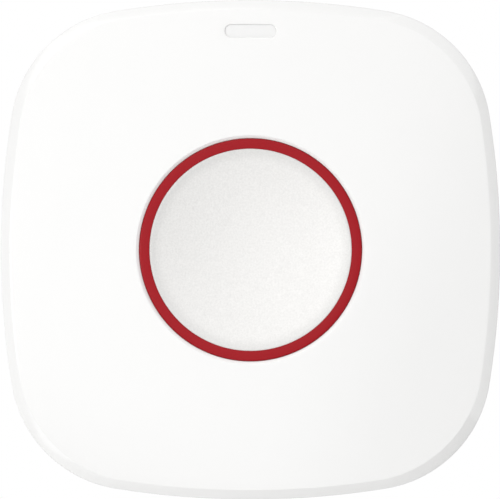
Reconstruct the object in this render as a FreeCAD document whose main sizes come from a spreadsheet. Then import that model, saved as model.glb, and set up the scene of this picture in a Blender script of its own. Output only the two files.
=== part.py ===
import FreeCAD, Part
import math
import os
import re
import Sketcher
from FreeCAD import Vector

# Wireless panic button for a wall: a crowned square housing with round corners,
# a dished round button in a red ring, and a light slot above the button.
# The wall is the plane Y = 0, the front faces -Y, and +Z is up. Every depth below
# is a distance from the wall, so a point at depth d has Y = -d.

# Driving dimensions, in millimetres unless the note says otherwise
SIZES = [
    ("case_width", 65.0, "housing, across the middles of two sides"),
    ("side_radius", 112.5, "outline: arc of each side"),
    ("corner_radius", 16.2, "outline: arc of each corner"),
    ("case_depth", 16.2, "wall to the top of the crown, before the button hole"),
    ("crown_radius", 300.0, "front face: radius of the crown"),
    ("bevel_width", 1.4, "bevel round the front, seen from the front"),
    ("bevel_drop", 0.55, "bevel round the front, along the depth"),
    ("side_wall", 1.8, "front cover: wall of the sides"),
    ("roof_thick", 3.8, "front cover: crown's top down to the flat ceiling"),
    ("edge_break", 0.4, "front cover: chamfer at the parting line"),
    ("plate_thick", 1.8, "wall plate"),
    ("plate_gap", 0.4, "wall plate to the rear cover's floor"),
    ("plate_play", 0.4, "wall plate's edge to the rear cover's skirt"),
    ("wall_clear", 0.3, "rear cover's skirt to the wall"),
    ("rear_inset", 0.8, "rear cover's outline, inside the front cover's"),
    ("skirt_wall", 1.6, "rear cover: wall of the skirt"),
    ("skirt_chamfer", 0.6, "rear cover: chamfer at the wall side"),
    ("floor_thick", 1.5, "rear cover: floor"),
    ("snap_wall", 1.2, "snap tongues: thickness"),
    ("snap_tall", 2.5, "snap tongues: height above the floor"),
    ("fit_gap", 0.15, "clearance of the covers' fits"),
    ("snap_width", 7.0, "snap tongues: length along the side"),
    ("guide_place", 12.0, "rear cover: guide ribs, from a side's middle"),
    ("guide_width", 3.0, "rear cover: guide ribs, along the side"),
    ("snap_reach", 0.5, "snap beads: how far they stand out"),
    ("snap_height", 0.9, "snap beads: height along the depth"),
    ("snap_start", 0.9, "snap beads: floor to the bead"),
    ("button_width", 28.9, "red ring: outer diameter"),
    ("button_gap", 0.1, "red ring to the housing's hole, all round"),
    ("ring_width", 1.33, "red ring: width of its front face"),
    ("ring_sink", 0.15, "edge of the button's hole to the red ring's face"),
    ("button_travel", 0.5, "how far the button goes in"),
    ("lead_width", 0.3, "bevel round the button's hole"),
    ("skirt_height", 2.6, "button ring: face to the stop flange"),
    ("skirt_thick", 1.25, "button ring: wall behind the web"),
    ("flange_reach", 1.45, "button ring: stop flange beyond the ring"),
    ("flange_thick", 1.2, "button ring: stop flange"),
    ("key_reach", 1.7, "button ring: key beyond the flange"),
    ("key_width", 3.6, "button ring: key across"),
    ("web_thick", 0.8, "button ring: web behind the cap"),
    ("post_radius", 1.3, "button ring: post on the switch"),
    ("stop_gap", 0.1, "flange to the front of its recess"),
    ("key_play", 0.3, "flange and keys to the sides of their recess"),
    ("cap_thick", 2.0, "cap: web to the ring's face"),
    ("cap_sink", 0.1, "cap's edge below the ring's face"),
    ("cap_play", 0.05, "cap's edge to the ring"),
    ("dish_depth", 1.4, "cap: depth of the dish"),
    ("cap_land", 0.25, "cap: flat rim round the dish"),
    ("slot_length", 6.6, "light slot: end to end"),
    ("slot_width", 1.65, "light slot: across"),
    ("slot_margin", 4.1, "light slot: its middle below the housing's top"),
    ("pipe_sink", 0.25, "crown to the face of the light pipe"),
    ("pipe_play", 0.08, "light pipe to its slot"),
    ("pipe_flange", 1.0, "light pipe: flange beyond the slot"),
    ("pipe_foot", 0.9, "light pipe: flange thickness"),
    ("led_width", 1.6, "status light: across"),
    ("led_depth", 0.8, "status light: up"),
    ("led_base", 0.25, "status light: carrier"),
    ("led_lens", 0.35, "status light: lens on the carrier"),
    ("led_gap", 0.25, "status light to the light pipe"),
    ("board_margin", 3.0, "circuit board: in from the housing's sides"),
    ("board_corner", 17.0, "circuit board: corners"),
    ("board_thick", 1.2, "circuit board"),
    ("boss_margin", 10.5, "board screws: in from the housing's sides"),
    ("boss_radius", 2.6, "board screws: radius of the bosses"),
    ("rest_width", 4.0, "front cover: square posts the board rests on"),
    ("screw_radius", 0.95, "screws: shank"),
    ("screw_play", 0.05, "screws: shank to the pilot hole"),
    ("screw_bite", 2.8, "screws: length in the boss"),
    ("hole_play", 0.2, "screws: shank to a through hole"),
    ("head_radius", 1.9, "screws: head"),
    ("head_height", 1.2, "screws: head"),
    ("tower_margin", 7.5, "case screw: above the housing's bottom"),
    ("tower_radius", 3.0, "case screw: radius of its tower"),
    ("tower_play", 0.3, "case screw: tower to the circuit board"),
    ("head_play", 0.6, "case screw: head to the wall plate's notch"),
    ("cell_width", 20.0, "coin cell: diameter"),
    ("cell_thick", 3.2, "coin cell: thickness"),
    ("cell_lid", 17.2, "coin cell: diameter of the negative lid"),
    ("cell_place", 3.0, "coin cell: centre below the button's centre"),
    ("strap_width", 6.0, "positive contact: strap"),
    ("strap_thick", 0.25, "positive contact: sheet"),
    ("strap_clear", 0.15, "positive contact to the rear cover's floor"),
    ("strap_side", 0.3, "positive contact's legs to the cell"),
    ("strap_foot", 1.8, "positive contact: feet on the board"),
    ("pad_thick", 0.3, "negative contact"),
    ("pad_reach", 6.0, "negative contact: arms from its middle"),
    ("pad_arm", 3.0, "negative contact: arms across"),
    ("switch_width", 6.0, "switch: square body"),
    ("switch_height", 1.6, "switch: body"),
    ("frame_thick", 0.2, "switch: metal frame over the body"),
    ("frame_leg", 1.0, "switch: legs of the frame, across"),
    ("stem_radius", 1.65, "switch: stem"),
    ("stem_play", 0.07, "switch: stem to its bore"),
    ("stem_height", 0.3, "switch: stem above the frame"),
    ("stem_depth", 0.7, "switch: stem inside the body"),
    ("post_gap", 0.1, "post to the stem"),
    ("hook_place_x", 19.0, "wall hooks: from the middle"),
    ("hook_place_z", 13.0, "wall hooks: from the middle"),
    ("hook_width", 5.0, "wall hooks: across"),
    ("hook_thick", 1.2, "wall hooks: stem"),
    ("hook_lip", 1.5, "wall hooks: lip upwards"),
    ("lip_thick", 1.0, "wall hooks: lip along the depth"),
    ("slide_length", 5.0, "how far the housing slides down on its hooks"),
    ("screw_spacing", 30.0, "wall screws: hole to hole"),
    ("wall_hole", 4.2, "wall screws: hole"),
    ("wall_sink", 7.4, "wall screws: countersink"),
    ("tongue_width", 7.0, "wall plate's catch: tongue"),
    ("tongue_length", 9.0, "wall plate's catch: tongue"),
    ("tongue_slit", 0.8, "wall plate's catch: slit round the tongue"),
    ("tongue_margin", 7.5, "wall plate's catch: tip below the housing's top"),
    ("catch_height", 0.6, "wall plate's catch: bump"),
    ("catch_width", 5.0, "wall plate's catch: bump across"),
    ("catch_depth", 1.4, "wall plate's catch: bump up"),
    ("brace_place", 13.5, "rear cover: ribs on the floor, from the middle"),
    ("brace_length", 30.0, "rear cover: ribs on the floor"),
    ("brace_height", 1.5, "rear cover: ribs on the floor"),
    ("brace_thick", 1.0, "rear cover: ribs on the floor"),
    ("chip_width", 5.0, "microcontroller: square body"),
    ("chip_height", 0.9, "microcontroller: body"),
    ("radio_width", 4.9, "radio chip: body across"),
    ("radio_depth", 3.9, "radio chip: body up"),
    ("radio_height", 1.5, "radio chip: body"),
    ("lead_pitch", 1.27, "radio chip: leads"),
    ("lead_reach", 1.05, "radio chip: leads beyond the body"),
    ("lead_across", 0.4, "radio chip: width of a lead"),
    ("lead_thick", 0.2, "radio chip: thickness of a lead's foot"),
    ("crystal_width", 3.2, "crystal: across"),
    ("crystal_depth", 2.5, "crystal: up"),
    ("crystal_height", 0.8, "crystal"),
    ("antenna_length", 12.0, "antenna: across"),
    ("antenna_depth", 3.6, "antenna: up"),
    ("antenna_clear", 1.1, "antenna: strip to the front cover's ceiling"),
    ("antenna_thick", 0.3, "antenna: sheet"),
    ("antenna_slit", 0.7, "antenna: slits between the turns"),
    ("antenna_pitch", 2.0, "antenna: slit to slit"),
]

# The housing's top edge, measured from the button's centre, and its right side
EDGE = "(case_width / 2)"

# Places of the small pieces on the board, across and up from the button's centre
CHIP_PLACE = (-8.0, 1.0)
RADIO_PLACE = (8.0, 1.5)
CRYSTAL_PLACE = (0.0, -9.0)
ANTENNA_PLACE = (f"(20 - {EDGE})", f"({EDGE} - 8.5)")
CAPACITORS = [
    (f"23 - {EDGE}", f"{EDGE} - 12"), (f"27 - {EDGE}", f"{EDGE} - 12"),
    (f"{EDGE} - 11.7", 6.0), (f"{EDGE} - 11.7", 2.0), (f"11.7 - {EDGE}", -4.5),
]
CAPACITOR_SIZE = (2.0, 1.25, 0.85)
RESISTORS = [(across, f"13 - {EDGE}") for across in (-12.5, -9.0, 9.0, 12.5)]
RESISTORS += [(across, f"{EDGE} - 7") for across in (7.0, 10.0)]
RESISTOR_SIZE = (1.6, 0.8, 0.45)

CORNERS = [(across, up) for across in (-1, 1) for up in (-1, 1)]
SIDES = [(1, 0), (0, 1), (-1, 0), (0, -1)]
LEAD_STEPS = (-1.5, -0.5, 0.5, 1.5)

doc = FreeCAD.newDocument("PanicButton")
sheet = doc.addObject("Spreadsheet::Sheet", "Sizes")
for row, (alias, size, note) in enumerate(SIZES, 1):
    sheet.set(f"A{row}", alias)
    sheet.set(f"B{row}", str(size))
    sheet.setAlias(f"B{row}", alias)
    sheet.set(f"C{row}", note)
doc.recompute()


def crown_at(reach):
    """Depth of the crowned face at a distance from the button's axis."""
    return f"(case_depth - crown_radius + sqrt(crown_radius ^ 2 - ({reach}) ^ 2))"


# Radii and half widths
ring_radius = "(button_width / 2)"
hole_radius = f"({ring_radius} + button_gap)"
flange_radius = f"({ring_radius} + flange_reach)"
pocket_radius = f"({ring_radius} - ring_width)"
cap_radius = f"({pocket_radius} - cap_play)"
lip_inset = "(side_wall + fit_gap)"
plate_inset = "(rear_inset + skirt_wall + plate_play)"
pilot_radius = "(screw_radius + screw_play)"

# Places across the front
slot_place = f"({EDGE} - slot_margin)"
boss_place = f"({EDGE} - boss_margin)"
case_screw = f"({EDGE} - tower_margin)"
tongue_place = f"({EDGE} - tongue_margin)"
catch_place = f"({tongue_place} - catch_depth)"
screw_places = [(f"-{boss_place}", f"-{boss_place}"), (boss_place, boss_place)]

# Depths from the wall
floor_back = "(plate_thick + plate_gap)"
floor_front = f"({floor_back} + floor_thick)"
ceiling = "(case_depth - roof_thick)"
cell_back = f"({floor_front} + strap_clear + strap_thick)"
board_back = f"({cell_back} + cell_thick + pad_thick)"
board_front = f"({board_back} + board_thick)"
switch_top = f"({board_front} + switch_height)"
stem_top = f"({switch_top} + frame_thick + stem_height)"
hole_edge = crown_at(hole_radius)
pipe_front = f"({crown_at(slot_place)} - pipe_sink)"
ring_front = f"({hole_edge} - ring_sink)"
flange_front = f"({ring_front} - skirt_height)"
flange_back = f"({flange_front} - flange_thick)"
recess_front = f"({flange_front} + stop_gap)"
web_front = f"({ring_front} - cap_thick)"
web_back = f"({web_front} - web_thick)"


def formula(text):
    """The text with each size's name pointing at its cell."""
    return re.sub(r"\b([a-z]+_[a-z_]+)\b", r"Sizes.\1", str(text))


def number(text):
    """What a formula comes to now."""
    return float(sheet.evalExpression(formula(text)))


def bind(thing, name, text, unit=""):
    thing.setExpression(name, formula(text) + unit)


def new_body(label):
    body = doc.addObject("PartDesign::Body", label)
    body.Label = label
    body.AllowCompound = True
    return body


def plane(body, role):
    return next(item for item in body.Origin.OriginFeatures if item.Role == role)


def new_sketch(body, role, offset="0"):
    sketch = body.newObject("Sketcher::SketchObject", body.Label + "_outline")
    sketch.AttachmentSupport = (plane(body, role), [""])
    sketch.MapMode = "FlatFace"
    bind(sketch, ".AttachmentOffset.Base.z", f"({offset})", " * 1 mm")
    return sketch


def at_depth(body, depth):
    """A sketch parallel to the wall: its X is X and its Y is Z."""
    return new_sketch(body, "XZ_Plane", depth)


def fix(sketch, kind, parts, text):
    """A constraint whose size follows a formula."""
    index = sketch.addConstraint(Sketcher.Constraint(kind, *parts, number(text)))
    bind(sketch, f"Constraints[{index}]", text)


def place(sketch, item, point, across, up):
    """Puts one point of an item at a place measured from the sketch's origin."""
    fix(sketch, "DistanceX", (-1, 1, item, point), across)
    fix(sketch, "DistanceY", (-1, 1, item, point), up)


def circle(sketch, across, up, radius):
    centre = Vector(number(across), number(up), 0)
    item = sketch.addGeometry(Part.Circle(centre, Vector(0, 0, 1), number(radius)), False)
    fix(sketch, "Radius", (item,), radius)
    place(sketch, item, 3, across, up)


def polygon(sketch, points):
    """A closed outline of straight sides."""
    spots = [Vector(number(across), number(up), 0) for across, up in points]
    afters = spots[1:] + spots[:1]
    items = [sketch.addGeometry(Part.LineSegment(*pair), False) for pair in zip(spots, afters)]
    for index, (across, up) in enumerate(points):
        place(sketch, items[index], 1, across, up)
        after = items[(index + 1) % len(items)]
        sketch.addConstraint(Sketcher.Constraint("Coincident", items[index], 2, after, 1))


def rectangle(sketch, across, up, width, height):
    left, right = f"{across} - ({width}) / 2", f"{across} + ({width}) / 2"
    low, high = f"{up} - ({height}) / 2", f"{up} + ({height}) / 2"
    polygon(sketch, [(left, low), (right, low), (right, high), (left, high)])


def stadium(sketch, across, up, length, width):
    """Two half circles joined by straight sides, with its length across."""
    radius = f"(({width}) / 2)"
    reach = f"(({length}) / 2 - {radius})"
    normal = Vector(0, 0, 1)
    spots = [Vector(number(across) + side * number(reach), number(up), 0) for side in (1, -1)]
    circles = [Part.Circle(spot, normal, number(radius)) for spot in spots]
    right = Part.ArcOfCircle(circles[0], -math.pi / 2, math.pi / 2)
    left = Part.ArcOfCircle(circles[1], math.pi / 2, 3 * math.pi / 2)
    shift = Vector(0, number(radius), 0)
    top = Part.LineSegment(spots[0] + shift, spots[1] + shift)
    bottom = Part.LineSegment(spots[1] - shift, spots[0] - shift)
    items = [sketch.addGeometry(part, False) for part in (right, top, left, bottom)]
    for index in range(4):
        after = items[(index + 1) % 4]
        sketch.addConstraint(Sketcher.Constraint("Tangent", items[index], 2, after, 1))
    fix(sketch, "Radius", (items[0],), radius)
    place(sketch, items[0], 3, f"{across} + {reach}", up)
    fix(sketch, "DistanceX", (-1, 1, items[2], 3), f"{across} - {reach}")


def squircle(sketch, inset="0"):
    """The housing's outline, moved inwards: four side arcs joined by four corner arcs."""
    side, corner = f"(side_radius - ({inset}))", f"(corner_radius - ({inset}))"
    back = "(side_radius - case_width / 2)"
    side_size, corner_size, back_size = number(side), number(corner), number(back)
    span = 2 * (side_size - corner_size) ** 2 - back_size ** 2
    middle = (math.sqrt(span) - back_size) / 2
    half = math.atan2(middle, middle + back_size)
    normal, quarter = Vector(0, 0, 1), math.pi / 2
    items = []
    for turn in range(4):
        angle = turn * quarter
        out = Vector(math.cos(angle), math.sin(angle), 0)
        left = Vector(-out.y, out.x, 0)
        side_arc = Part.Circle(out * -back_size, normal, side_size)
        corner_arc = Part.Circle((out + left) * middle, normal, corner_size)
        items.append(sketch.addGeometry(Part.ArcOfCircle(side_arc, angle - half, angle + half), False))
        corner_ends = (angle + half, angle + quarter - half)
        items.append(sketch.addGeometry(Part.ArcOfCircle(corner_arc, *corner_ends), False))
    for index, item in enumerate(items):
        after = items[(index + 1) % 8]
        sketch.addConstraint(Sketcher.Constraint("Tangent", item, 2, after, 1))
        fix(sketch, "Radius", (item,), corner if index % 2 else side)
    for turn, (across, up) in enumerate(((-1, 0), (0, -1), (1, 0), (0, 1))):
        place(sketch, items[2 * turn], 3, f"{across} * {back}", f"{up} * {back}")


def round_square(sketch, width, corner):
    """A square with rounded corners: right, top, left and bottom sides joined by arcs."""
    flat, reach = f"({width} / 2 - {corner})", number(width) / 2
    normal, quarter, inner = Vector(0, 0, 1), math.pi / 2, number(flat)
    items = []
    for turn in range(4):
        out = Vector(math.cos(turn * quarter), math.sin(turn * quarter), 0)
        left = Vector(-out.y, out.x, 0)
        side = Part.LineSegment(out * reach - left * inner, out * reach + left * inner)
        centre = Part.Circle((out + left) * inner, normal, number(corner))
        items.append(sketch.addGeometry(side, False))
        arc = Part.ArcOfCircle(centre, turn * quarter, (turn + 1) * quarter)
        items.append(sketch.addGeometry(arc, False))
    for index, item in enumerate(items):
        after = items[(index + 1) % 8]
        sketch.addConstraint(Sketcher.Constraint("Tangent", item, 2, after, 1))
    fix(sketch, "Radius", (items[1],), corner)
    for turn, (across, up) in enumerate(((1, 1), (-1, 1), (-1, -1), (1, -1))):
        place(sketch, items[2 * turn + 1], 3, f"{across} * {flat}", f"{up} * {flat}")


def add(body, sketch, start, end):
    """Material from the sketch's depth out to a larger depth."""
    pad = body.newObject("PartDesign::Pad", body.Label + "_pad")
    pad.Profile = sketch
    bind(pad, "Length", f"{end} - ({start})")
    doc.recompute()
    return pad


def cut(body, sketch, start, end):
    """A pocket from the sketch's depth out to a larger depth."""
    before = body.Shape.Volume
    pocket = body.newObject("PartDesign::Pocket", body.Label + "_pocket")
    pocket.Profile = sketch
    pocket.Reversed = True
    bind(pocket, "Length", f"{end} - ({start})")
    doc.recompute()
    assert body.Shape.Volume < before, f"{pocket.Name} cuts nothing"
    return pocket


def turned(body, kind, points):
    """A form turned about the button's axis, from points of radius and depth."""
    sketch = new_sketch(body, "XY_Plane")
    polygon(sketch, [(radius, f"-({depth})") for radius, depth in points])
    turning = body.newObject("PartDesign::" + kind, body.Label + "_turned")
    turning.Profile = sketch
    turning.ReferenceAxis = (sketch, ["V_Axis"])
    turning.Angle = 360
    doc.recompute()
    return turning


def break_edges(body, test, size, other=None):
    """A chamfer on each edge whose middle passes the test, given as (across, up, depth)."""
    names = []
    for index, edge in enumerate(body.Shape.Edges, 1):
        middle = edge.valueAt((edge.FirstParameter + edge.LastParameter) / 2)
        if test(middle.x, middle.z, -middle.y):
            names.append(f"Edge{index}")
    base = body.Tip
    chamfer = body.newObject("PartDesign::Chamfer", body.Label + "_chamfer")
    chamfer.Base = (base, names)
    bind(chamfer, "Size", size)
    if other:
        chamfer.ChamferType = "Two distances"
        bind(chamfer, "Size2", other)
    doc.recompute()
    return chamfer


def from_outline(across, up):
    """Distance of a place from the housing's outline, positive inside it."""
    back, side = number("side_radius - case_width / 2"), number("side_radius")
    corner = number("corner_radius")
    middle = (math.sqrt(2 * (side - corner) ** 2 - back ** 2) - back) / 2
    small, large = sorted((abs(across), abs(up)))
    if math.atan2(small, large + back) < math.atan2(middle, middle + back):
        return side - math.hypot(small, large + back)
    return corner - math.hypot(large - middle, small - middle)


def side_boxes(sketch, inset, depth_in, width, shift="0"):
    """A rectangle at each side's middle, from an inset line inwards, moved along the side."""
    middle = f"(case_width / 2 - ({inset}) - ({depth_in}) / 2)"
    for across, up in SIDES:
        if across:
            rectangle(sketch, f"{across} * {middle}", shift, depth_in, width)
        else:
            rectangle(sketch, shift, f"{up} * {middle}", width, depth_in)


def crown_cut(body):
    """Trims the block to a ball's surface, turned about an upright axis behind the wall."""
    sketch = new_sketch(body, "YZ_Plane")
    bind(sketch, ".AttachmentOffset.Base.x", "(crown_radius - case_depth)", " * 1 mm")
    reach = "(case_width * 0.7)"
    outer = f"(crown_radius + {reach} ^ 2 / crown_radius)"
    ball = number("crown_radius")
    lean = math.asin(number(reach) / ball)
    normal, centre = Vector(0, 0, 1), Vector(0, 0, 0)
    arc = Part.ArcOfCircle(Part.Circle(centre, normal, ball), math.pi - lean, math.pi + lean)
    high, low = arc.StartPoint, arc.EndPoint
    left = -number(outer)
    spots = [low, Vector(left, low.y, 0), Vector(left, high.y, 0), high]
    items = [sketch.addGeometry(arc, False)]
    items += [sketch.addGeometry(Part.LineSegment(*pair), False) for pair in zip(spots, spots[1:])]
    for index, item in enumerate(items):
        after = items[(index + 1) % 4]
        sketch.addConstraint(Sketcher.Constraint("Coincident", item, 2, after, 1))
    sketch.addConstraint(Sketcher.Constraint("Coincident", items[0], 3, -1, 1))
    fix(sketch, "Radius", (items[0],), "crown_radius")
    fix(sketch, "DistanceY", (-1, 1, items[0], 1), reach)
    fix(sketch, "DistanceY", (-1, 1, items[0], 2), f"-{reach}")
    place(sketch, items[1], 2, f"-{outer}", f"-{reach}")
    place(sketch, items[2], 2, f"-{outer}", reach)
    groove = body.newObject("PartDesign::Groove", body.Label + "_crown")
    groove.Profile = sketch
    groove.ReferenceAxis = (sketch, ["V_Axis"])
    groove.Midplane = True
    bind(groove, "Angle", f"2.2 * asin({reach} / crown_radius)")
    doc.recompute()


def front_cover():
    """Moulded front shell: crowned face, bevel, button hole with a keyed recess, slot and bosses."""
    body = new_body("front_cover")
    sketch = at_depth(body, floor_front)
    squircle(sketch)
    add(body, sketch, floor_front, "case_depth")
    crown_cut(body)
    rim = number(ceiling)
    break_edges(body, lambda x, z, d: d > rim and abs(from_outline(x, z)) < 0.01,
                "bevel_drop", "bevel_width")
    break_edges(body, lambda x, z, d: d < rim and abs(from_outline(x, z)) < 0.01, "edge_break")

    sketch = at_depth(body, floor_front)
    squircle(sketch, "side_wall")
    cut(body, sketch, floor_front, ceiling)

    sketch = at_depth(body, ceiling)
    circle(sketch, "0", "0", f"{flange_radius} + key_play")
    cut(body, sketch, ceiling, recess_front)
    sketch = at_depth(body, ceiling)
    rectangle(sketch, "0", "0", f"2 * ({flange_radius} + key_reach + key_play)",
              "(key_width + 2 * key_play)")
    cut(body, sketch, ceiling, recess_front)
    wide = "(2 * lead_width)"
    turned(body, "Groove", [
        ("0", ceiling), (hole_radius, ceiling), (hole_radius, f"{hole_edge} - lead_width"),
        (f"{hole_radius} + {wide}", f"{hole_edge} - lead_width + {wide}"),
        (f"{hole_radius} + {wide}", f"case_depth + {wide}"), ("0", f"case_depth + {wide}"),
    ])

    sketch = at_depth(body, board_front)
    for across, up in screw_places:
        circle(sketch, across, up, "boss_radius")
        rectangle(sketch, f"-({across})", up, "rest_width", "rest_width")
    add(body, sketch, board_front, ceiling)
    sketch = at_depth(body, floor_front)
    circle(sketch, "0", f"-{case_screw}", "tower_radius")
    add(body, sketch, floor_front, ceiling)

    sketch = at_depth(body, board_front)
    for across, up in screw_places:
        circle(sketch, across, up, pilot_radius)
    cut(body, sketch, board_front, f"({board_front} + screw_bite + screw_play)")
    sketch = at_depth(body, floor_front)
    circle(sketch, "0", f"-{case_screw}", pilot_radius)
    cut(body, sketch, floor_front, f"({floor_front} + screw_bite + screw_play)")
    sketch = at_depth(body, ceiling)
    stadium(sketch, "0", slot_place, "slot_length", "slot_width")
    cut(body, sketch, ceiling, "case_depth")

    start = f"({floor_front} + snap_start - fit_gap)"
    sketch = at_depth(body, start)
    depth_in = "(snap_reach + 2 * fit_gap)"
    side_boxes(sketch, "side_wall - snap_reach - fit_gap", depth_in, "(snap_width + 4 * fit_gap)")
    cut(body, sketch, start, f"({start} + snap_height + 2 * fit_gap)")
    return body


def rear_cover():
    """Moulded rear shell: floor, skirt round the wall plate, nesting lip with snap tongues."""
    body = new_body("rear_cover")
    sketch = at_depth(body, "wall_clear")
    squircle(sketch, "rear_inset")
    add(body, sketch, "wall_clear", floor_front)
    back = number("wall_clear")
    break_edges(body, lambda x, z, d: abs(d - back) < 0.01, "skirt_chamfer")
    sketch = at_depth(body, "wall_clear")
    squircle(sketch, "rear_inset + skirt_wall")
    cut(body, sketch, "wall_clear", floor_back)

    top = f"({floor_front} + snap_tall)"
    sketch = at_depth(body, floor_front)
    side_boxes(sketch, lip_inset, "snap_wall", "snap_width")
    for side in (-1, 1):
        corner_drop = "(guide_place ^ 2 / side_radius)"
        side_boxes(sketch, f"{lip_inset} + {corner_drop}", "snap_wall", "guide_width",
                   f"{side} * guide_place")
    add(body, sketch, floor_front, top)
    bead = f"({floor_front} + snap_start)"
    sketch = at_depth(body, bead)
    side_boxes(sketch, f"{lip_inset} - snap_reach", "(snap_reach + snap_wall / 2)", "snap_width")
    add(body, sketch, bead, f"({bead} + snap_height)")

    sketch = at_depth(body, floor_front)
    for side in (-1, 1):
        rectangle(sketch, f"{side} * brace_place", "0", "brace_thick", "brace_length")
    add(body, sketch, floor_front, f"({floor_front} + brace_height)")
    sketch = at_depth(body, floor_back)
    for across, up in CORNERS:
        middle = f"{up} * hook_place_z - slide_length / 2"
        tall = "(slide_length + hook_thick + 2 * fit_gap)"
        rectangle(sketch, f"{across} * hook_place_x", middle, "(hook_width + 4 * fit_gap)", tall)
    circle(sketch, "0", f"-{case_screw}", "screw_radius + hole_play")
    cut(body, sketch, floor_back, floor_front)
    sketch = at_depth(body, floor_back)
    rectangle(sketch, "0", catch_place, "(catch_width + 4 * fit_gap)", "(catch_depth + 4 * fit_gap)")
    cut(body, sketch, floor_back, f"({floor_back} + catch_height - plate_gap + fit_gap)")
    return body


def wall_plate():
    """Plate screwed to the wall, with four hooks for the housing and a spring catch."""
    body = new_body("wall_plate")
    sketch = at_depth(body, "0")
    squircle(sketch, plate_inset)
    add(body, sketch, "0", "plate_thick")
    sketch = at_depth(body, "0")
    width = "(2 * (head_radius + head_play))"
    top = f"(slide_length - {case_screw})"
    rectangle(sketch, "0", f"({top} - case_width / 2) / 2", width, f"({top} + case_width / 2)")
    cut(body, sketch, "0", "plate_thick")
    sketch = at_depth(body, "0")
    circle(sketch, "0", top, f"{width} / 2")
    cut(body, sketch, "0", "plate_thick")

    sketch = at_depth(body, "0")
    half = "(tongue_width / 2)"
    outer, inner = f"({half} + tongue_slit)", half
    tip, root = f"({tongue_place} + tongue_slit)", f"({tongue_place} - tongue_length)"
    polygon(sketch, [
        (f"-{outer}", root), (f"-{inner}", root), (f"-{inner}", tongue_place),
        (inner, tongue_place), (inner, root), (outer, root), (outer, tip), (f"-{outer}", tip),
    ])
    cut(body, sketch, "0", "plate_thick")
    sketch = at_depth(body, "plate_thick")
    rectangle(sketch, "0", catch_place, "catch_width", "catch_depth")
    add(body, sketch, "plate_thick", "(plate_thick + catch_height)")

    under = f"({floor_front} + fit_gap)"
    sketch = at_depth(body, "plate_thick")
    for across, up in CORNERS:
        rectangle(sketch, f"{across} * hook_place_x", f"{up} * hook_place_z", "hook_width", "hook_thick")
    add(body, sketch, "plate_thick", f"({under} + lip_thick)")
    sketch = at_depth(body, under)
    for across, up in CORNERS:
        middle = f"{up} * hook_place_z + hook_lip / 2"
        rectangle(sketch, f"{across} * hook_place_x", middle, "hook_width", "(hook_thick + hook_lip)")
    add(body, sketch, under, f"({under} + lip_thick)")

    sketch = at_depth(body, "plate_thick")
    for side in (-1, 1):
        circle(sketch, f"{side} * screw_spacing / 2", "0", "wall_hole / 2")
    doc.recompute()
    hole = body.newObject("PartDesign::Hole", "wall_holes")
    hole.Profile = sketch
    hole.DepthType = "ThroughAll"
    bind(hole, "Diameter", "wall_hole")
    hole.HoleCutType = "Countersink"
    bind(hole, "HoleCutDiameter", "wall_sink")
    hole.HoleCutCountersinkAngle = 90
    doc.recompute()
    return body


def button_ring():
    """Red ring, stop flange, web and post in one piece, turned, with two keys against turning."""
    body = new_body("button_ring")
    inner = f"({ring_radius} - skirt_thick)"
    post = f"({stem_top} + post_gap)"
    turned(body, "Revolution", [
        ("0", post), ("post_radius", post), ("post_radius", web_back), (inner, web_back),
        (inner, flange_back), (flange_radius, flange_back), (flange_radius, flange_front),
        (ring_radius, flange_front), (ring_radius, ring_front), (pocket_radius, ring_front),
        (pocket_radius, web_front), ("0", web_front),
    ])
    sketch = at_depth(body, flange_back)
    for side in (-1, 1):
        middle = f"{side} * ({flange_radius} + key_reach / 2 - key_play / 2)"
        rectangle(sketch, middle, "0", "(key_reach + key_play)", "key_width")
    add(body, sketch, flange_back, flange_front)
    return body


def button_cap():
    """White cap let into the ring, with a face dished to part of a ball."""
    body = new_body("button_cap")
    rim = f"({ring_front} - cap_sink)"
    sketch = at_depth(body, web_front)
    circle(sketch, "0", "0", cap_radius)
    add(body, sketch, web_front, rim)
    dish = f"({cap_radius} - cap_land)"
    ball = f"(({dish} ^ 2 + dish_depth ^ 2) / (2 * dish_depth))"
    hollow = body.newObject("PartDesign::SubtractiveSphere", "dish")
    hollow.AttachmentSupport = (plane(body, "XY_Plane"), [""])
    hollow.MapMode = "FlatFace"
    bind(hollow, "Radius", ball)
    bind(hollow, ".AttachmentOffset.Base.y", f"-({rim} - dish_depth + {ball})", " * 1 mm")
    doc.recompute()
    return body


def light_pipe():
    """Clear bar from the status light to the slot, with a flange against the ceiling."""
    body = new_body("light_pipe")
    start = f"({board_front} + led_base + led_lens + led_gap)"
    sketch = at_depth(body, start)
    stadium(sketch, "0", slot_place, "(slot_length - 2 * pipe_play)", "(slot_width - 2 * pipe_play)")
    add(body, sketch, start, pipe_front)
    flange = f"({ceiling} - pipe_foot)"
    sketch = at_depth(body, flange)
    rectangle(sketch, "0", slot_place, "(slot_length + 2 * pipe_flange)",
              "(slot_width + 2 * pipe_flange)")
    add(body, sketch, flange, ceiling)
    return body


def block(body, depth, thick, across, up, width, height):
    """A box on a plane parallel to the wall."""
    sketch = at_depth(body, depth)
    rectangle(sketch, across, up, width, height)
    add(body, sketch, depth, f"({depth} + {thick})")


def status_led():
    """Small surface light: carrier and lens."""
    body = new_body("status_led")
    block(body, board_front, "led_base", "0", slot_place, "led_width", "led_depth")
    lens = f"({board_front} + led_base)"
    block(body, lens, "led_lens", "0", slot_place, "(led_width * 0.7)", "led_depth")
    return body


def circuit_board():
    """Board that fills the housing, with screw holes and a hole for the case screw's tower."""
    body = new_body("circuit_board")
    sketch = at_depth(body, board_back)
    round_square(sketch, "(case_width - 2 * board_margin)", "board_corner")
    for across, up in screw_places:
        circle(sketch, across, up, "screw_radius + hole_play")
    circle(sketch, "0", f"-{case_screw}", "tower_radius + tower_play")
    add(body, sketch, board_back, board_front)
    return body


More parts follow.
